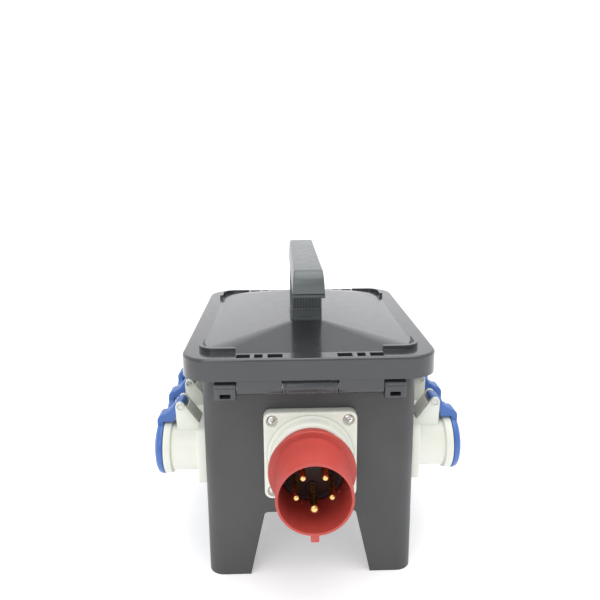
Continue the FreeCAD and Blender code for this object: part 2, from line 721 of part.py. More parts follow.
def make_switchgear():
    r = rail_width / 2
    section = [(0, -r, rail_face), (0, -r, rail_face - 1), (0, -r + 4, rail_face - 1),
               (0, -r + 4, rail_face - rail_depth),
               (0, r - 4, rail_face - rail_depth), (0, r - 4, rail_face - 1), (0, r, rail_face - 1),
               (0, r, rail_face),
               (0, r - 5, rail_face), (0, r - 5, rail_face - rail_depth + 1),
               (0, -r + 5, rail_face - rail_depth + 1),
               (0, -r + 5, rail_face)]
    rail = polygon_prism(section, (rail_length, 0, 0))
    rail.translate(V(-rail_length / 2, 0, 0))
    add("device_rail", rail)
    floor_top = floor_under + floor_thick
    feet = []
    for s in (-1, 1):
        x = s * (rail_length / 2 - 12)
        under = rail_face - rail_depth
        post = box(x - 6, x + 6, -1.0, 1.0, floor_top, under)
        lower = box(x - 6, x + 6, -1.0, 14.0, floor_top, floor_top + 2)
        upper = box(x - 6, x + 6, -1.0, 12.0, under - 2, under)
        feet.append(post.fuse([lower, upper]).removeSplitter())
    group("rail_feet", feet)
    left = -3.5 * module
    split = left + 4 * module
    rcd = device(left, split - device_gap)
    t0 = left + 2.6 * module
    t1 = t0 + 16.0
    rcd = toggle_slot(rcd, t0, t1)
    bx = left + 1.1 * module
    top = rail_face + device_nose
    rcd = rcd.cut(box(bx - 4.2, bx + 4.2, -4.2, 4.2, top - 6, top + 1))
    add("rcd_body", rcd)
    add("rcd_toggle", toggle(t0 + 0.4, t1 - 0.4))
    add("rcd_test_button", box(bx - 3.8, bx + 3.8, -3.8, 3.8, top - 3.6, top + 2.0))
    for i in range(3):
        x0 = split + i * module
        body = device(x0, x0 + module - device_gap)
        body = toggle_slot(body, x0 + 4.6, x0 + module - 5.0)
        add("breaker_body_%d" % (i + 1), body)
        add("breaker_toggle_%d" % (i + 1), toggle(x0 + 5.0, x0 + module - 5.4))
    cover = rounded_block(inner_width - 2 * cover_gap, inner_length - 2 * cover_gap,
                          case_corner - case_wall - cover_gap, cover_height, cover_height + cover_thick)
    window = rounded_block(2 * 3.5 * module + 2.0, 2 * nose_half + 1.6, 1.5, cover_height - 1,
                           cover_height + 9)
    cover = cover.cut(window)
    screws = []
    for x in (-1, 1):
        for y in (-1, 1):
            px = x * (inner_width / 2 - pillar_inset)
            py = y * (inner_length / 2 - pillar_inset)
            cover = cover.cut(rod(screw_core + 0.3, 20, (px, py, cover_height - 5), (0, 0, 1)))
            shank = rod(screw_core - 0.1, 11 + cover_thick, (px, py, cover_height - 11), (0, 0, 1))
            head = rod(3.4, 2.0, (px, py, cover_height + cover_thick), (0, 0, 1))
            screws.append(shank.fuse(head))
    add("inner_cover", cover)
    group("cover_screws", screws)
    y = half_length - 30
    bar = box(-34, 34, y - 4, y + 4, floor_top + 12, floor_top + 19)
    for i in range(7):
        bar = bar.cut(rod(2.0, 9, (-27 + 9 * i, y, floor_top + 11), (0, 0, 1)))
    add("earth_bar", bar)
    feet = [box(s * 29 - 4, s * 29 + 4, y - 6, y + 6, floor_top, floor_top + 12) for s in (-1, 1)]
    group("earth_bar_feet", feet)
    block = box(-31, 31, -half_length + 42, -half_length + 62, floor_top, floor_top + 17)
    for i in range(5):
        x = -24 + 12 * i
        block = block.cut(box(x - 4, x + 4, -half_length + 41, -half_length + 63, floor_top + 7,
                              floor_top + 13))
    add("terminal_block", block)


make_case()
make_hinge_line()
make_lid()
make_handle()
make_inlet()
make_sockets()
make_switchgear()

os.makedirs("parts", exist_ok=True)
for name, shape in parts.items():
    shape.translate(V(0, shift_y, 0))
    shape.exportStep("parts/" + name + ".step")
    print(name, len(shape.Solids), round(shape.Volume), shape.isValid())
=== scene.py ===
import bpy, bmesh, json, math
from mathutils import Matrix, Vector


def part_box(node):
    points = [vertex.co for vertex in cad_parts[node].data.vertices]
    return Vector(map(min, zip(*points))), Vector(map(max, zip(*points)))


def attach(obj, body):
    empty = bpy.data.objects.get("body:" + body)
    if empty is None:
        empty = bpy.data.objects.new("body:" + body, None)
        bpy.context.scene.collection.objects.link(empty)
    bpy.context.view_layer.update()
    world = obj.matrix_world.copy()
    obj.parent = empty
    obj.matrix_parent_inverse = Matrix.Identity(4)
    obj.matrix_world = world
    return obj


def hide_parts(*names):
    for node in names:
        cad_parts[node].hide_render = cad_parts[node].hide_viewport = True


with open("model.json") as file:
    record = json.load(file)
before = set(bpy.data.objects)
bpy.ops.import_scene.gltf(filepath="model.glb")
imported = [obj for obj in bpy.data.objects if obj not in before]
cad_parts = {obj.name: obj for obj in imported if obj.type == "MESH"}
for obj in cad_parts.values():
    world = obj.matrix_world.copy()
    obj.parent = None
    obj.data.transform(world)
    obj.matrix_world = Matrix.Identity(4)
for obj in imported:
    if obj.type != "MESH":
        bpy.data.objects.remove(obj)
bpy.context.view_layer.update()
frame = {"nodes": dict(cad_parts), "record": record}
nodes = frame["nodes"]
scene = bpy.context.scene
mm = 0.001
print("frame loaded")


# camera, floor and light
view = dict(place=(-0.02062, -0.54993, 0.34853), turn=(77.0036, 0.4473, -1.7342), lens=37.207)

camData = bpy.data.cameras.new("studioCamera")
camData.lens = view["lens"]
camData.sensor_width = 36
camData.clip_start = 0.01
camera = bpy.data.objects.new("studioCamera", camData)
camera.location = view["place"]
camera.rotation_euler = [math.radians(a) for a in view["turn"]]
scene.collection.objects.link(camera)
scene.camera = camera
scene.view_settings.view_transform = "Standard"


def newMaterial(name):
    mat = bpy.data.materials.new(name)
    mat.use_nodes = True
    tree = mat.node_tree
    tree.nodes.clear()
    out = tree.nodes.new("ShaderNodeOutputMaterial")
    shader = tree.nodes.new("ShaderNodeBsdfPrincipled")
    tree.links.new(shader.outputs["BSDF"], out.inputs["Surface"])
    return mat, tree, shader


def noise(tree, coords, scale, detail=3.0, rough=0.5, stretch=None):
    node = tree.nodes.new("ShaderNodeTexNoise")
    node.inputs["Scale"].default_value = scale
    node.inputs["Detail"].default_value = detail
    node.inputs["Roughness"].default_value = rough
    if stretch:
        mapping = tree.nodes.new("ShaderNodeMapping")
        mapping.inputs["Scale"].default_value = stretch
        tree.links.new(coords, mapping.inputs["Vector"])
        tree.links.new(mapping.outputs["Vector"], node.inputs["Vector"])
    else:
        tree.links.new(coords, node.inputs["Vector"])
    return node


def spread(tree, source, low, high, fromLow=0.3, fromHigh=0.7):
    node = tree.nodes.new("ShaderNodeMapRange")
    node.inputs["From Min"].default_value = fromLow
    node.inputs["From Max"].default_value = fromHigh
    node.inputs["To Min"].default_value = low
    node.inputs["To Max"].default_value = high
    tree.links.new(source, node.inputs["Value"])
    return node.outputs["Result"]


def mixColor(tree, factor, a, b):
    node = tree.nodes.new("ShaderNodeMix")
    node.data_type = "RGBA"
    for key, value in (("Factor", factor), ("A", a), ("B", b)):
        kind = "VALUE" if key == "Factor" else "RGBA"
        entry = [s for s in node.inputs if s.name == key and s.type == kind][0]
        if hasattr(value, "is_output"):
            tree.links.new(value, entry)
        elif key == "Factor":
            entry.default_value = value
        else:
            entry.default_value = (*value[:3], 1)
    return [s for s in node.outputs if s.type == "RGBA"][0]


# shared by every moulded plastic; scales are per metre, depths in metres
moulding = dict(patchScale=22, scuffScale=160, scuffStretch=(1, 1, 0.25), grainScale=2600, grainDepth=0.0002,
                waveScale=14, waveDepth=0.002, smoother=0.05, rougher=0.08, ior=1.5,
                bleed=(0.002, 0.001, 0.001))


def moulded(name, look):
    # moulded plastic: mottled colour, spark-eroded grain, scuffs and soft edges
    mat, tree, shader = newMaterial(name)
    coords = tree.nodes.new("ShaderNodeTexCoord").outputs["Object"]
    patches = noise(tree, coords, moulding["patchScale"], 4)
    scuffs = noise(tree, coords, moulding["scuffScale"], 6, 0.7, moulding["scuffStretch"])
    grain = noise(tree, coords, moulding["grainScale"], 2)
    base = look["color"]
    light = [min(1, c * look.get("lift", 1.12)) for c in base]
    dark = [c * look.get("drop", 0.9) for c in base]
    mottled = mixColor(tree, spread(tree, patches.outputs["Fac"], 0, 1), dark, light)
    worn = [min(1, c * look.get("wear", 1.25)) for c in base]
    shade = mixColor(tree, spread(tree, scuffs.outputs["Fac"], 0, look.get("scuff", 0.3), 0.55, 0.75),
                     mottled, worn)
    tree.links.new(shade, shader.inputs["Base Color"])
    roughA = spread(tree, scuffs.outputs["Fac"], look["rough"] - moulding["smoother"],
                   look["rough"] + moulding["rougher"], 0.35, 0.75)
    tree.links.new(roughA, shader.inputs["Roughness"])
    shader.inputs["IOR"].default_value = moulding["ior"]
    shader.inputs["Subsurface Weight"].default_value = look.get("glow", 0.0)
    shader.inputs["Subsurface Radius"].default_value = moulding["bleed"]
    shader.inputs["Coat Weight"].default_value = look.get("coat", 0.0)
    shader.inputs["Coat Roughness"].default_value = look.get("coatRough", 0.1)
    bump = tree.nodes.new("ShaderNodeBump")
    bump.inputs["Strength"].default_value = look.get("bump", 0.12)
    bump.inputs["Distance"].default_value = moulding["grainDepth"]
    tree.links.new(grain.outputs["Fac"], bump.inputs["Height"])
    waves = tree.nodes.new("ShaderNodeBump")
    waves.inputs["Strength"].default_value = look.get("wave", 0.05)
    waves.inputs["Distance"].default_value = moulding["waveDepth"]
    tree.links.new(noise(tree, coords, moulding["waveScale"], 1).outputs["Fac"], waves.inputs["Height"])
    tree.links.new(waves.outputs["Normal"], bump.inputs["Normal"])
    if look.get("edge", 0) > 0:
        edge = tree.nodes.new("ShaderNodeBevel")
        edge.samples = 4
        edge.inputs["Radius"].default_value = look["edge"]
        tree.links.new(edge.outputs["Normal"], waves.inputs["Normal"])
    tree.links.new(bump.outputs["Normal"], shader.inputs["Normal"])
    return mat


# shared by every metal
drawing = dict(lineScale=900, lineDepth=0.0001, bump=0.1, stainScale=180, stain=0.5, smoother=0.08,
               rougher=0.12)


def metal(name, look):
    # metal: fine drawn lines, faint stains and uneven polish
    mat, tree, shader = newMaterial(name)
    coords = tree.nodes.new("ShaderNodeTexCoord").outputs["Object"]
    lines = noise(tree, coords, drawing["lineScale"], 4, 0.6, look.get("stretch", (1, 0.06, 1)))
    stains = noise(tree, coords, drawing["stainScale"], 5, 0.6)
    base = look["color"]
    dull = [c * look.get("drop", 0.6) for c in base]
    shade = mixColor(tree, spread(tree, stains.outputs["Fac"], 0, drawing["stain"], 0.45, 0.8), base, dull)
    tree.links.new(shade, shader.inputs["Base Color"])
    polish = spread(tree, lines.outputs["Fac"], look["rough"] - drawing["smoother"],
                    look["rough"] + drawing["rougher"])
    tree.links.new(polish, shader.inputs["Roughness"])
    shader.inputs["Metallic"].default_value = 1.0
    bump = tree.nodes.new("ShaderNodeBump")
    bump.inputs["Strength"].default_value = drawing["bump"]
    bump.inputs["Distance"].default_value = drawing["lineDepth"]
    tree.links.new(lines.outputs["Fac"], bump.inputs["Height"])
    tree.links.new(bump.outputs["Normal"], shader.inputs["Normal"])
    return mat


# colours are linear; edge is the radius, in metres, that the light sees on sharp edges
finishes = dict(
    casePlastic=dict(color=(0.052, 0.053, 0.054), rough=0.44, bump=0.10, edge=0.0006, wave=0.03),
    lidPlastic=dict(color=(0.036, 0.039, 0.041), rough=0.2, bump=0.02, edge=0.0007, wave=0.02, scuff=0.15,
                    coat=0.45, coatRough=0.05),
    hingePlastic=dict(color=(0.06, 0.065, 0.07), rough=0.25, bump=0.03, edge=0.0004),
    sealRubber=dict(color=(0.02, 0.02, 0.02), rough=0.7, bump=0.1),
    gripPlastic=dict(color=(0.088, 0.100, 0.102), rough=0.32, bump=0.05, edge=0.0012, wave=0.02, coat=0.15,
                     coatRough=0.15),
    postPlastic=dict(color=(0.050, 0.060, 0.062), rough=0.4, bump=0.1, edge=0.0003),
    whitePlastic=dict(color=(0.76, 0.78, 0.70), rough=0.36, bump=0.03, edge=0.0004, glow=0.05, wear=0.93,
                      drop=0.97, lift=1.02),
    redPlastic=dict(color=(0.47, 0.062, 0.05), rough=0.36, bump=0.04, edge=0.0003, glow=0.05, wear=1.1),
    bluePlastic=dict(color=(0.055, 0.15, 0.44), rough=0.33, bump=0.04, edge=0.0004, glow=0.04, wear=1.15),
    carrierPlastic=dict(color=(0.035, 0.018, 0.018), rough=0.5, bump=0.1),
    insertPlastic=dict(color=(0.045, 0.05, 0.055), rough=0.45, bump=0.1),
    devicePlastic=dict(color=(0.62, 0.64, 0.62), rough=0.45, bump=0.06, edge=0.0003, wear=0.95),
    togglePlastic=dict(color=(0.02, 0.022, 0.03), rough=0.3, bump=0.03, edge=0.0003),
    buttonPlastic=dict(color=(0.62, 0.42, 0.04), rough=0.35, bump=0.03, edge=0.0003),
    coverPlastic=dict(color=(0.11, 0.115, 0.12), rough=0.5, bump=0.12),
    blockPlastic=dict(color=(0.05, 0.12, 0.07), rough=0.5, bump=0.08),
)
metals = dict(
    pinBrass=dict(color=(0.78, 0.55, 0.22), rough=0.22),
    screwSteel=dict(color=(0.72, 0.72, 0.70), rough=0.28, drop=0.5),
    blackScrew=dict(color=(0.1, 0.1, 0.1), rough=0.4),
    clipSteel=dict(color=(0.62, 0.62, 0.6), rough=0.3),
    railSteel=dict(color=(0.6, 0.6, 0.57), rough=0.35, stretch=(0.06, 1, 1)),
)
made = {name: moulded(name, look) for name, look in finishes.items()}
made.update({name: metal(name, look) for name, look in metals.items()})
print("materials made")

finishOfSlot = dict(
    case_plastic="casePlastic", lid_plastic="lidPlastic", seal_rubber="sealRubber",
    hinge_plastic="hingePlastic", hinge_steel="screwSteel", grip_plastic="gripPlastic",
    post_plastic="postPlastic", black_screw="blackScrew", white_plastic="whitePlastic",
    red_plastic="redPlastic", carrier_plastic="carrierPlastic", pin_brass="pinBrass",
    screw_steel="screwSteel", clip_steel="clipSteel", rail_steel="railSteel",
    device_plastic="devicePlastic", toggle_plastic="togglePlastic", button_plastic="buttonPlastic",
    cover_plastic="coverPlastic", bar_brass="pinBrass", block_plastic="blockPlastic",
    blue_plastic="bluePlastic", insert_plastic="insertPlastic",
)
slotOfNode = {entry["node"]: entry["material_slot"] for entry in frame["record"]["subparts"]}
for name, piece in nodes.items():
    for slot in piece.material_slots:
        slot.material = made[finishOfSlot[slotOfNode[name]]]
print("CAD pieces dressed")


# tools for new pieces; sizes in the dictionaries are millimetres
def bevelled(mesh, parts, size, segments, kind="EDGES", clamp=False):
    # size is in metres
    bmesh.ops.bevel(mesh, geom=parts, offset=size, offset_type="OFFSET", affect=kind, segments=segments,
                    profile=0.5, material=-1, clamp_overlap=clamp)


def roundCorners(mesh, verts, rows, segments):
    # the third number of a row is the rounding of that corner
    for size in sorted({row[2] for row in rows if row[2]}):
        chosen = [v for v, row in zip(verts, rows) if row[2] == size]
        bevelled(mesh, chosen, size * mm, segments, "VERTICES")


def onlyVerts(parts):
    return [part for part in parts if isinstance(part, bmesh.types.BMVert)]


def moved(mesh, x, y, z):
    bmesh.ops.translate(mesh, vec=(x * mm, y * mm, z * mm), verts=mesh.verts[:])
    return mesh


def turned(mesh, angle, axis="Z"):
    bmesh.ops.rotate(mesh, cent=(0, 0, 0), matrix=Matrix.Rotation(angle, 3, axis), verts=mesh.verts[:])
    return mesh


def spun(profile, steps=96, corner=3):
    # profile rows are (radius, height, rounding); turned about Z
    mesh = bmesh.new()
    verts = [mesh.verts.new((r * mm, 0, h * mm)) for r, h, _ in profile]
    for i, vert in enumerate(verts):
        mesh.edges.new((vert, verts[(i + 1) % len(verts)]))
    roundCorners(mesh, verts, profile, corner)
    bmesh.ops.spin(mesh, geom=mesh.verts[:] + mesh.edges[:], cent=(0, 0, 0), axis=(0, 0, 1),
                   angle=2 * math.pi, steps=steps, use_merge=True)
    bmesh.ops.remove_doubles(mesh, verts=mesh.verts[:], dist=0.000002)
    bmesh.ops.dissolve_degenerate(mesh, edges=mesh.edges[:], dist=0.000001)
    bmesh.ops.recalc_face_normals(mesh, faces=mesh.faces[:])
    return mesh


def block(low, high, rounding=0, segments=3, pick=None):
    # cuboid between two corners, with rounded edges where pick says so
    mesh = bmesh.new()
    bmesh.ops.create_cube(mesh, size=1)
    size = [(b - a) * mm for a, b in zip(low, high)]
    middle = [(b + a) / 2 * mm for a, b in zip(low, high)]
    bmesh.ops.scale(mesh, vec=size, verts=mesh.verts[:])
    bmesh.ops.translate(mesh, vec=middle, verts=mesh.verts[:])
    if rounding:
        edges = [e for e in mesh.edges if pick is None or pick(e)]
        bevelled(mesh, edges, rounding * mm, segments)
    return mesh


def runsAlong(axis):
    return lambda e: abs((e.verts[0].co - e.verts[1].co).normalized()[axis]) > 0.99


def roundEdges(mesh, rounding, segments, angle):
    edges = [e for e in mesh.edges if len(e.link_faces) == 2 and e.calc_face_angle(0) > math.radians(angle)]
    bevelled(mesh, edges, rounding * mm, segments, clamp=True)
    return mesh


def join(target, *others):
    for other in others:
        data = bpy.data.meshes.new("joining")
        other.to_mesh(data)
        other.free()
        target.from_mesh(data)
        bpy.data.meshes.remove(data)
    return target


def carve(mesh, cutter):
    # takes the cutter out of the mesh; both are used up
    pair = []
    for source in (mesh, cutter):
        data = bpy.data.meshes.new("carving")
        source.to_mesh(data)
        source.free()
        piece = bpy.data.objects.new("carving", data)
        scene.collection.objects.link(piece)
        pair.append(piece)
    change = pair[0].modifiers.new("carve", "BOOLEAN")
    change.operation = "DIFFERENCE"
    change.object = pair[1]
    change.solver = "EXACT"
    result = bmesh.new()
    result.from_object(pair[0], bpy.context.evaluated_depsgraph_get())
    for piece in pair:
        data = piece.data
        bpy.data.objects.remove(piece)
        bpy.data.meshes.remove(data)
    return result


def placed(mesh, place, out=(0, 0, 1)):
    # local Z looks along out, and on a wall local Y points up; place is in metres
    spin = Vector(out).to_track_quat("Z", "Y").to_matrix().to_4x4()
    bmesh.ops.transform(mesh, matrix=Matrix.Translation(place) @ spin, verts=mesh.verts[:])
    return mesh


sharpAngle = math.radians(32)  # edges bent more than this stay crisp


def addPiece(name, mesh, finish, body, replaces=()):
    data = bpy.data.meshes.new(name)
    mesh.to_mesh(data)
    mesh.free()
    data.polygons.foreach_set("use_smooth", [True] * len(data.polygons))
    data.set_sharp_from_angle(angle=sharpAngle)
    data.materials.append(made[finish])
    piece = bpy.data.objects.new(name, data)
    scene.collection.objects.link(piece)
    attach(piece, body)
    if replaces:
        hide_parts(*replaces)
    return piece


# screws
screw = dict(radius=4.0, height=2.3, crossLong=5.0, crossWide=1.05, crossDeep=1.7, taper=0.55)


def crossHead(radius, height, scale=1.0):
    r = radius
    head = spun([(0, height, 0), (r * 0.55, height - 0.18 * height, 0.0), (r * 0.9, height * 0.55, 0.4),
                 (r, height * 0.12, 0.2), (r, 0, 0), (0, 0, 0)], steps=32)
    long = screw["crossLong"] * scale / 2
    wide = screw["crossWide"] * scale / 2
    deep = screw["crossDeep"] * scale
    cross = block((-long, -wide, height - deep), (long, wide, height + 1))
    other = block((-wide, -long, height - deep), (wide, long, height + 1))
    low = [v for m in (cross, other) for v in m.verts if v.co.z < height * mm]
    for v in low:
        v.co.x *= screw["taper"]
        v.co.y *= screw["taper"]
    return carve(carve(head, cross), other)


# inlet on the front wall
plateLow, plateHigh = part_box("inlet_plate")
inletZ = (plateLow[2] + plateHigh[2]) / 2
wallY = plateHigh[1]
inlet = dict(size=75, thick=9, corner=6, edge=1.5, boss=33, bossHigh=12, bossRound=4.5, screwPitch=61,
             recess=4.9, recessDeep=2.6, tube=28.15, wall=2.1, reach=76, ring=34, ringFront=36.7,
             ringThick=3.4, neck=29.4, keyWide=6, keyHigh=5.5, pinCircle=13.8, pinRadius=2.5,
             earthRadius=3.5, pinTip=66, pinBack=22, sleeveWall=1.5, sleeveRise=1.6, carrierFace=33,
             carrierBack=16, guideHalf=2.6, ribAngles=(-54, 18, 162, 234))


def makeInlet():
    d = inlet
    outward = (0, -1, 0)
    spot = (0, wallY, inletZ)
    half = d["size"] / 2
    plate = block((-half, -half, 0), (half, half, d["thick"]), d["corner"], 8, runsAlong(2))
    rim = [e for e in plate.edges if all(v.co.z > (d["thick"] - 0.01) * mm for v in e.verts)]
    bevelled(plate, rim, d["edge"] * mm, 4)
    top = d["thick"] + d["bossHigh"]
    boss = spun([(d["neck"] - 0.9, d["thick"] - 3, 0), (d["boss"] + 2.2, d["thick"] - 3, 0),
                 (d["boss"] + 2.2, d["thick"], 0), (d["boss"], d["thick"], 2.0),
                 (d["boss"], top, d["bossRound"]), (d["neck"] + 0.1, top, 0.3),
                 (d["neck"] + 0.1, top - 5, 0), (d["neck"] - 0.9, top - 5, 0)], 128, 6)
    bore = spun([(0, -2, 0), (d["neck"] - 0.9, -2, 0), (d["neck"] - 0.9, 40, 0), (0, 40, 0)], 128)
    plate = carve(plate, bore)
    pitch = d["screwPitch"] / 2
    heads = None
    for sx in (-1, 1):
        for sy in (-1, 1):
            well = spun([(0, d["thick"] - d["recessDeep"], 0),
                         (d["recess"], d["thick"] - d["recessDeep"], 0.3), (d["recess"], 20, 0),
                         (0, 20, 0)], 40)
            moved(well, sx * pitch, sy * pitch, 0)
            plate = carve(plate, well)
            head = crossHead(screw["radius"], screw["height"])
            turned(head, 0.5 + sx * 0.8 + sy * 0.3)  # no two crosses stand alike
            moved(head, sx * pitch, sy * pitch, d["thick"] - d["recessDeep"])
            heads = head if heads is None else join(heads, head)
    plate = join(plate, boss)
    addPiece("inletFlange", placed(plate, spot, outward), "whitePlastic", "case",
             ["inlet_plate"])
    addPiece("inletScrewHeads", placed(heads, spot, outward), "screwSteel", "case",
             ["inlet_screws"])
    inner = d["tube"] - d["wall"]
    shroud = spun([(inner, top - 5, 0), (d["neck"], top - 5, 0),
                   (d["neck"], d["ringFront"] - d["ringThick"], 0.4),
                   (d["ring"], d["ringFront"] - d["ringThick"], 0.5), (d["ring"], d["ringFront"], 0.8),
                   (d["tube"] + 0.35, d["ringFront"] - 0.2, 0.6), (d["tube"] - 0.02, d["reach"], 0.6),
                   (inner, d["reach"], 0.7)], 128, 5)
    bottom = -d["tube"] - d["keyHigh"]
    key = block((-d["keyWide"] / 2, bottom, d["ringFront"] - 1),
                (d["keyWide"] / 2, -d["tube"] + 1.2, d["reach"] - 0.4), 1.0, 3,
                lambda e: all(v.co.y < (bottom + 0.01) * mm for v in e.verts))
    bmesh.ops.recalc_face_normals(key, faces=key.faces[:])
    guide = block((-d["guideHalf"], inner - 2.4, d["ringFront"] - 3),
                  (d["guideHalf"], inner + 0.8, d["reach"] - 12), 0.5, 2)
    shroud = join(shroud, key, guide)
    for angle in d["ribAngles"]:
        rib = block((-0.7, inner - 1.0, top), (0.7, inner + 0.5, d["carrierFace"] + 6), 0.3, 2)
        shroud = join(shroud, turned(rib, math.radians(angle)))
    addPiece("inletShroud", placed(shroud, spot, outward), "redPlastic", "case",
             ["inlet_shroud"])
    face = d["carrierFace"]
    carrier = spun([(0, -d["carrierBack"], 0), (d["neck"] - 4, -d["carrierBack"], 0),
                    (d["neck"] - 4, top - 5, 0), (inner - 0.3, top - 5, 0), (inner - 0.3, face, 1.0),
                    (inner - 3.5, face, 0.3), (inner - 3.5, face - 1.2, 0.3),
                    (inner - 5.0, face - 1.2, 0.3), (inner - 5.0, face, 0.3), (0, face, 0)], 96, 3)
    pins = bmesh.new()
    earth = bmesh.new()
    for i in range(5):
        angle = math.radians(-90 + 72 * i)
        r = d["earthRadius"] if i == 0 else d["pinRadius"]
        x = d["pinCircle"] * math.cos(angle)
        y = d["pinCircle"] * math.sin(angle)
        pin = spun([(0, -d["pinBack"], 0), (r, -d["pinBack"], 0), (r, d["pinTip"], r * 0.72),
                    (0, d["pinTip"], 0)], 40, 8)
        sleeve = spun([(r + 0.05, face - 1, 0), (r + d["sleeveWall"], face - 1, 0),
                       (r + d["sleeveWall"], face + d["sleeveRise"], 0.4),
                       (r + 0.05, face + d["sleeveRise"], 0.2)], 40, 3)
        for mesh in (pin, sleeve):
            moved(mesh, x, y, 0)
        join(earth if i == 0 else pins, pin)
        carrier = join(carrier, sleeve)
    addPiece("inletCarrier", placed(carrier, spot, outward), "carrierPlastic", "case",
             ["inlet_carrier"])
    addPiece("earthPin", placed(earth, spot, outward), "pinBrass", "case", ["inlet_earth_pin"])
    addPiece("livePins", placed(pins, spot, outward), "pinBrass", "case", ["inlet_live_pins"])


makeInlet()
print("inlet made")


# sockets: x runs along the wall, y up and z out of the wall, from the centre of each socket
socket = dict(wall=87, height=102, rows=(-41.75, 13.75, 69.25), flange=50, flangeThick=7.5, flangeCorner=4,
              flangeEdge=1.0, screwPitch=38.5, screwWell=3.9, wellDeep=1.2, barrel=21.8, bore=19.8,
              throat=19.3, front=37.2, collar=24.0, collarBack=31.0, recess=19.2, capRadius=24.3,
              capBack=37.6, capSide=43.1, capFront=46.3, pinOut=22.4, pinUp=40.0, cheekInner=8.4,
              cheekThick=2.8, pinHead=2.5, armHalf=8.0, headRadius=3.2, headHigh=2.0, headScale=0.8)


def profiled(outline, width, corner=3, middle=0.0):
    # rows are (out, up, rounding); the outline is pushed along X, half to each side of middle
    mesh = bmesh.new()
    verts = [mesh.verts.new((0, up * mm, out * mm)) for out, up, _ in outline]
    for i, vert in enumerate(verts):
        mesh.edges.new((vert, verts[(i + 1) % len(verts)]))
    roundCorners(mesh, verts, outline, corner)
    face = bmesh.ops.contextual_create(mesh, geom=mesh.edges[:])["faces"]
    grown = bmesh.ops.extrude_face_region(mesh, geom=face)["geom"]
    bmesh.ops.translate(mesh, vec=(width * mm, 0, 0), verts=onlyVerts(grown))
    bmesh.ops.translate(mesh, vec=((middle - width / 2) * mm, 0, 0), verts=mesh.verts[:])
    bmesh.ops.recalc_face_normals(mesh, faces=mesh.faces[:])
    return mesh


def turnedOver(mesh, quarter, move):
    # lays a turned piece along X, then moves it (mm)
    return moved(turned(mesh, quarter, "Y"), *move)


def socketCap():
    d = socket
    r = d["capRadius"]
    lid = spun([(0, d["capFront"], 0), (8, d["capFront"] - 0.25, 0), (14.6, d["capFront"] - 0.9, 0.4),
                (15.4, d["capFront"] - 1.3, 0.3), (20.6, d["capFront"] - 2.5, 1.0),
                (23.5, d["capSide"] - 1.0, 1.0), (r, d["capSide"] - 3.2, 0.8), (r, d["capBack"], 0.5),
                (21.4, d["capBack"], 0.3), (20.6, d["capBack"] + 3.2, 0.5), (0, d["capBack"] + 5.8, 0)],
                112, 4)
    side = d["capSide"]
    arm = profiled([(side, 20.0, 0), (side, 27.6, 1.2), (40.6, 30.4, 1.2), (36.6, 30.9, 0.4),
                    (35.6, 32.4, 0.3), (34.0, 32.6, 0.3), (33.0, 34.2, 0.3), (31.2, 34.5, 0.4),
                    (30.0, 37.4, 1.0), (27.6, 41.0, 1.0), (25.0, 43.2, 0.8), (24.4, 37.0, 0.4),
                    (26.8, 31.0, 1.5), (28.8, 24.8, 0.6), (37.9, 24.8, 0.2), (37.9, 19.5, 0)],
                    2 * d["armHalf"])
    roundEdges(arm, 0.5, 2, 60)
    knuckle = spun([(0, -d["armHalf"], 0), (3.6, -d["armHalf"], 0.4), (3.6, d["armHalf"], 0.4),
                    (0, d["armHalf"], 0)], 32)
    knuckle = turnedOver(knuckle, math.pi / 2, (0, d["pinUp"], d["pinOut"]))
    lid = join(lid, arm, knuckle)
    return lid


def capSeal():
    back = socket["capBack"]
    return spun([(17.6, back + 1.2, 0.5), (20.3, back + 0.7, 0.5), (20.6, back + 3.6, 0),
                 (17.6, back + 3.6, 0)], 96, 3)


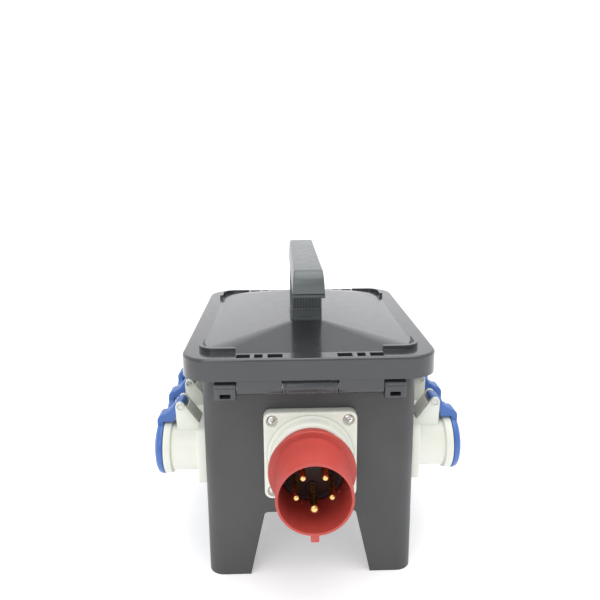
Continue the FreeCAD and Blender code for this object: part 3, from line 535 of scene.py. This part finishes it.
def socketBody():
    d = socket
    half = d["flange"] / 2
    thick = d["flangeThick"]
    body = block((-half, -half, 0), (half, half, thick), d["flangeCorner"], 6, runsAlong(2))
    rim = [e for e in body.edges if all(v.co.z > (thick - 0.01) * mm for v in e.verts)]
    bevelled(body, rim, d["flangeEdge"] * mm, 3)
    body = carve(body, spun([(0, -2, 0), (d["throat"], -2, 0), (d["throat"], 12, 0), (0, 12, 0)], 96))
    wells = None
    pitch = d["screwPitch"] / 2
    for sx in (-1, 1):
        for sy in (-1, 1):
            well = spun([(0, thick - d["wellDeep"], 0), (d["screwWell"], thick - d["wellDeep"], 0.2),
                         (d["screwWell"], thick + 4, 0), (0, thick + 4, 0)], 32)
            moved(well, sx * pitch, sy * pitch, 0)
            wells = well if wells is None else join(wells, well)
    body = carve(body, wells)
    barrel = spun([(d["throat"], 0, 0), (d["barrel"] + 0.8, 0.5, 0), (d["barrel"] + 0.8, thick + 0.2, 0),
                   (d["barrel"], thick + 1.2, 0.6), (d["barrel"], d["collarBack"] - 1.4, 0.3),
                   (d["barrel"] - 0.5, d["collarBack"] - 1.2, 0.2),
                   (d["barrel"] - 0.5, d["collarBack"] - 0.5, 0.2),
                   (d["collar"] - 0.2, d["collarBack"], 0.5), (d["collar"], d["front"], 0.5),
                   (d["bore"], d["front"], 0.4), (d["bore"], d["recess"], 0),
                   (d["throat"], d["recess"], 0)], 112, 4)
    body = join(body, barrel)
    for side in (-1, 1):
        x = side * (d["cheekInner"] + d["cheekThick"] / 2)
        cheek = profiled([(6.5, 24.5, 0), (6.5, 18, 0), (25.8, 18, 0), (26.6, 40.4, 1.0), (25.0, 43.9, 2.0),
                          (20.4, 43.8, 2.0)], d["cheekThick"], 4, x)
        roundEdges(cheek, 0.4, 2, 60)
        outer = side * (d["cheekInner"] + d["cheekThick"])
        boss = spun([(d["pinHead"] + 0.1, -0.6, 0), (3.9, -0.6, 0), (3.7, 0.7, 0.3),
                     (d["pinHead"] + 0.1, 0.7, 0.2)], 40)
        body = join(body, cheek, turnedOver(boss, side * math.pi / 2, (outer, d["pinUp"], d["pinOut"])))
    web = profiled([(7.0, 26.0, 0), (8.5, 24.6, 0), (17.8, 37.5, 0.3), (16.4, 38.8, 0.3)],
                   2 * d["cheekInner"] + 1)
    return join(body, web)


def socketPins():
    d = socket
    both = None
    for side in (-1, 1):
        head = spun([(0, 0.5, 0), (d["pinHead"] * 0.8, 0.5, 0.2), (d["pinHead"], 0.1, 0.2),
                     (d["pinHead"], -1.0, 0), (0, -1.0, 0)], 32)
        head = carve(head, block((-0.45, -4, -0.1), (0.45, 4, 2)))
        head = turnedOver(head, side * math.pi / 2, (side * (d["cheekInner"] + d["cheekThick"]), d["pinUp"],
                                                     d["pinOut"]))
        both = head if both is None else join(both, head)
    rod = spun([(0, -11, 0), (1.55, -11, 0), (1.55, 11, 0), (0, 11, 0)], 24)
    return join(both, turnedOver(rod, math.pi / 2, (0, d["pinUp"], d["pinOut"])))


def makeSockets():
    d = socket
    cap, seal, body, pin = socketCap(), capSeal(), socketBody(), socketPins()
    pitch = d["screwPitch"] / 2
    pins = bmesh.new()
    heads = bmesh.new()
    for side, letter in ((1, "right"), (-1, "left")):
        for number, y in enumerate(d["rows"], 1):
            spot = (side * d["wall"] * mm, y * mm, d["height"] * mm)
            out = (side, 0, 0)
            tag = "_%s_%d" % (letter, number)
            name = letter.capitalize() + str(number)
            flap = "flap" + tag
            addPiece("socketCap" + name, placed(cap.copy(), spot, out), "bluePlastic", flap,
                     ["socket_cap" + tag])
            addPiece("socketSeal" + name, placed(seal.copy(), spot, out), "sealRubber", flap)
            addPiece("socketBody" + name, placed(body.copy(), spot, out), "whitePlastic", "case",
                     ["socket_housing" + tag])
            join(pins, placed(pin.copy(), spot, out))
            for sx in (-1, 1):
                for sy in (-1, 1):
                    head = crossHead(d["headRadius"], d["headHigh"], d["headScale"])
                    turned(head, 0.7 * number + sx + 0.4 * sy)
                    moved(head, sx * pitch, sy * pitch, d["flangeThick"] - d["wellDeep"])
                    join(heads, placed(head, spot, out))
    for mesh in (cap, seal, body, pin):
        mesh.free()
    addPiece("socketPins", pins, "clipSteel", "case", ["socket_hinge_pins"])
    addPiece("socketScrews", heads, "screwSteel", "case", ["socket_screws"])


makeSockets()
print("sockets made")


# handle: grip with its hollow ends and two ribbed posts; heights are from the floor
handle = dict(top=260.5, thick=21.5, length=205, endWide=26.6, topWide=24.0, nose=12.0, edge=1.6, wall=4.0,
              hollowFrom=66.5, hollowEnd=6.0, hollowDeep=9.0, lip=0.7, lipHigh=3.0, middle=30.75,
              postWide=25.6, postOuter=62.5, postInner=47.5, foot=211.0, ribs=9, ribWide=0.7, ribDeep=1.2,
              ribFrom=11.0)


def hollowEnds(piece):
    d = handle
    under = d["top"] - d["thick"]
    inside = d["topWide"] / 2 - d["wall"]
    for sign in (-1, 1):
        low, high = sorted((sign * d["hollowFrom"], sign * (d["length"] / 2 - d["hollowEnd"])))
        piece = carve(piece, block((-inside, low, under - 3), (inside, high, under + d["hollowDeep"]), 1.5,
                                   3, runsAlong(2)))
    return piece


def makeGrip():
    d = handle
    under = d["top"] - d["thick"]
    low = under + d["lipHigh"] + d["lip"]
    end = d["length"] / 2
    # outline rows are (height, along, rounding): pushed across the grip
    grip = profiled([(low, -end, 0), (d["top"], -end, d["nose"]), (d["top"], end, d["nose"]), (low, end, 0)],
                    d["endWide"], 10)
    lean = (d["endWide"] - d["topWide"]) / 2
    for v in grip.verts:
        rise = (v.co.z / mm - under) / d["thick"]
        v.co.x -= math.copysign(lean * rise * mm, v.co.x)
    rim = [e for e in grip.edges if e.calc_face_angle(0) > 1.0
           and max(v.co.z for v in e.verts) > (low + 0.5) * mm]
    bevelled(grip, rim, d["edge"] * mm, 4, clamp=True)
    core = block((-d["topWide"] / 2 + 1, -end + 1.5, under + d["lipHigh"] - 0.2),
                 (d["topWide"] / 2 - 1, end - 1.5, low + 1))
    return placed(join(hollowEnds(grip), hollowEnds(core)), (0, d["middle"] * mm, 0))


def makeLip():
    # darker under-part of the grip, with a shadow line above it
    d = handle
    under = d["top"] - d["thick"]
    half = d["endWide"] / 2 - 0.3
    end = d["length"] / 2 - 0.2
    lip = block((-half, -end, under), (half, end, under + d["lipHigh"]), 1.3, 4,
                lambda e: all(v.co.z < (under + 0.1) * mm for v in e.verts))
    return placed(hollowEnds(lip), (0, d["middle"] * mm, 0))


def makePost(sign):
    d = handle
    under = d["top"] - d["thick"]
    half = d["postWide"] / 2
    post = block((-half, -d["postOuter"], d["foot"]), (half, -d["postInner"], under), 1.0, 3, runsAlong(2))
    pitch = d["postWide"] / (d["ribs"] + 1)
    slots = None
    for i in range(d["ribs"]):
        x = (i + 1) * pitch - half
        slot = block((x - d["ribWide"], -d["postOuter"] - 1, d["foot"] + d["ribFrom"]),
                     (x + d["ribWide"], -d["postOuter"] + d["ribDeep"], under - 1.5), 0.3, 2, runsAlong(2))
        slots = slot if slots is None else join(slots, slot)
    post = carve(post, slots)
    band = block((-half - 0.15, -d["postOuter"] - 0.35, d["foot"] + d["ribFrom"] - 2.4),
                 (half + 0.15, -d["postInner"] + 0.3, d["foot"] + d["ribFrom"] - 1.2), 0.3, 2)
    base = block((-half, -d["postOuter"] - 0.8, d["foot"]), (half, -d["postInner"] + 2.0, d["foot"] + 3.0),
                 0.6, 3, lambda e: all(v.co.z > (d["foot"] + 2.9) * mm for v in e.verts))
    post = join(post, band, base)
    if sign > 0:
        turned(post, math.pi)
    return placed(post, (0, d["middle"] * mm, 0))


addPiece("handleGrip", makeGrip(), "gripPlastic", "lid", ["handle_grip"])
addPiece("handleLip", makeLip(), "postPlastic", "lid")
addPiece("handlePostFront", makePost(-1), "postPlastic", "lid", ["handle_post_front"])
addPiece("handlePostRear", makePost(1), "postPlastic", "lid", ["handle_post_rear"])
print("handle made")


# hinge line and snap line: glossy centre barrel with end seams, and clips with windows that stop below the
# rod
hinge = dict(axis=-90.25, height=173.0, wall=-82.75, barrel=6.4, half=21.6, seam=0.35, clipFrom=58.0,
             clipEnd=75.0, clipFront=6.0, clipDrop=9.0, clipRise=4.0, window=4.2, middle=30.75, rod=2.5)


def hingeBarrel():
    d = hinge
    tube = spun([(0, -d["half"], 0), (d["barrel"], -d["half"], 0.5), (d["barrel"], -d["half"] + 2.2, 0.1),
                 (d["barrel"] - d["seam"], -d["half"] + 2.5, 0.1),
                 (d["barrel"] - d["seam"], -d["half"] + 3.1, 0.1), (d["barrel"], -d["half"] + 3.4, 0.1),
                 (d["barrel"], d["half"] - 3.4, 0.1), (d["barrel"] - d["seam"], d["half"] - 3.1, 0.1),
                 (d["barrel"] - d["seam"], d["half"] - 2.5, 0.1), (d["barrel"], d["half"] - 2.2, 0.1),
                 (d["barrel"], d["half"], 0.5), (0, d["half"], 0)], 64, 3)
    tube = turnedOver(tube, math.pi / 2, (0, d["axis"], d["height"]))
    web = block((-d["half"], d["axis"], d["height"] - d["barrel"]),
                (d["half"], d["wall"], d["height"] + 1.5), 0.4, 2, runsAlong(0))
    return join(tube, web)


def hingeClips():
    d = hinge
    both = None
    for sign in (-1, 1):
        low, high = sorted((sign * d["clipFrom"], sign * d["clipEnd"]))
        clip = block((low, d["axis"] - d["clipFront"], d["height"] - d["clipDrop"]),
                     (high, d["wall"], d["height"] + d["clipRise"]))
        front = [e for e in clip.edges if all(v.co.y < (d["axis"] - d["clipFront"] + 0.01) * mm
                                              for v in e.verts)]
        bevelled(clip, front, 1.0 * mm, 4)
        mid = (low + high) / 2
        window = block((mid - d["window"], d["axis"] - 9, d["height"] - d["clipDrop"] + 1.6),
                       (mid + d["window"], d["wall"] - 1, d["height"] - d["rod"] - 1.4), 0.5, 2, runsAlong(1))
        groove = block((low - 1, d["axis"] - d["clipFront"] - 1, d["height"] + 0.6),
                       (high + 1, d["axis"] - d["clipFront"] + 0.35, d["height"] + 1.2))
        clip = carve(carve(clip, window), groove)
        both = clip if both is None else join(both, clip)
    return both


for end in ("front", "rear"):
    for kind, mesh in (("Barrel", hingeBarrel()), ("Clips", hingeClips())):
        if end == "rear":
            bmesh.ops.rotate(mesh, cent=(0, hinge["middle"] * mm, 0), matrix=Matrix.Rotation(math.pi, 3, "Z"),
                             verts=mesh.verts[:])
        addPiece("hinge" + kind + end.capitalize(), mesh, "hingePlastic", "case",
                 ["hinge_" + kind.lower() + "_" + end])
print("hinge lines made")


# studio
studio = dict(halfWidth=7.0, near=-6.0, far=3.0, wallHigh=5.0, bend=1.6, floorColor=(0.86, 0.86, 0.88),
              glow=0.32, rough=0.6, fibreScale=900, fibreShade=0.985,
              worldStrength=1.0, nearLight=0.62, dimFrom=-0.7)  # the room behind the camera is dimmer


def makeStudio():
    # one sheet of paper: flat under the box, then curved up into the wall behind it
    d = studio
    mesh = bmesh.new()
    side = ((d["near"], 0), (d["far"], 0), (d["far"], d["wallHigh"]))
    line = [mesh.verts.new((-d["halfWidth"], y, z)) for y, z in side]
    for pair in zip(line, line[1:]):
        mesh.edges.new(pair)
    bevelled(mesh, [line[1]], d["bend"], 24, "VERTICES")
    grown = bmesh.ops.extrude_edge_only(mesh, edges=mesh.edges[:])["geom"]
    bmesh.ops.translate(mesh, vec=(2 * d["halfWidth"], 0, 0), verts=onlyVerts(grown))
    bmesh.ops.recalc_face_normals(mesh, faces=mesh.faces[:])
    data = bpy.data.meshes.new("floor")
    mesh.to_mesh(data)
    mesh.free()
    data.polygons.foreach_set("use_smooth", [True] * len(data.polygons))
    floor = bpy.data.objects.new("floor", data)
    scene.collection.objects.link(floor)
    mat, tree, shader = newMaterial("paperFloor")
    coords = tree.nodes.new("ShaderNodeTexCoord").outputs["Object"]
    fibre = noise(tree, coords, d["fibreScale"], 3)
    base = d["floorColor"]
    darker = [c * d["fibreShade"] for c in base]
    shade = mixColor(tree, spread(tree, fibre.outputs["Fac"], 0, 1), darker, base)
    tree.links.new(shade, shader.inputs["Base Color"])
    shader.inputs["Roughness"].default_value = d["rough"]
    shader.inputs["Emission Color"].default_value = (1, 1, 1, 1)
    shader.inputs["Emission Strength"].default_value = d["glow"]
    data.materials.append(mat)
    world = bpy.data.worlds.new("studioWorld")
    scene.world = world
    world.use_nodes = True
    air = world.node_tree
    split = air.nodes.new("ShaderNodeSeparateXYZ")
    air.links.new(air.nodes.new("ShaderNodeTexCoord").outputs["Generated"], split.inputs["Vector"])
    dim = spread(air, split.outputs["Y"], d["nearLight"], d["worldStrength"], d["dimFrom"], 0.0)
    air.links.new(dim, air.nodes["Background"].inputs["Strength"])
    air.nodes["Background"].inputs["Color"].default_value = (1, 1, 1, 1)


lamps = dict(topSoft=dict(place=(0.1, -0.1, 1.5), aim=(0, 0, 0.1), size=(1.4, 1.4), power=14),
             frontSoft=dict(place=(-0.6, -1.3, 0.9), aim=(0, 0, 0.12), size=(0.9, 0.9), power=5))


def addLight(name, place, aim, size, power):
    data = bpy.data.lights.new(name, "AREA")
    data.shape = "RECTANGLE"
    data.size, data.size_y = size
    data.energy = power
    lamp = bpy.data.objects.new(name, data)
    lamp.location = place
    toward = Vector(aim) - Vector(place)
    lamp.rotation_euler = toward.to_track_quat("-Z", "Y").to_euler()
    scene.collection.objects.link(lamp)


makeStudio()
for name, lamp in lamps.items():
    addLight(name, **lamp)
print("studio ready")
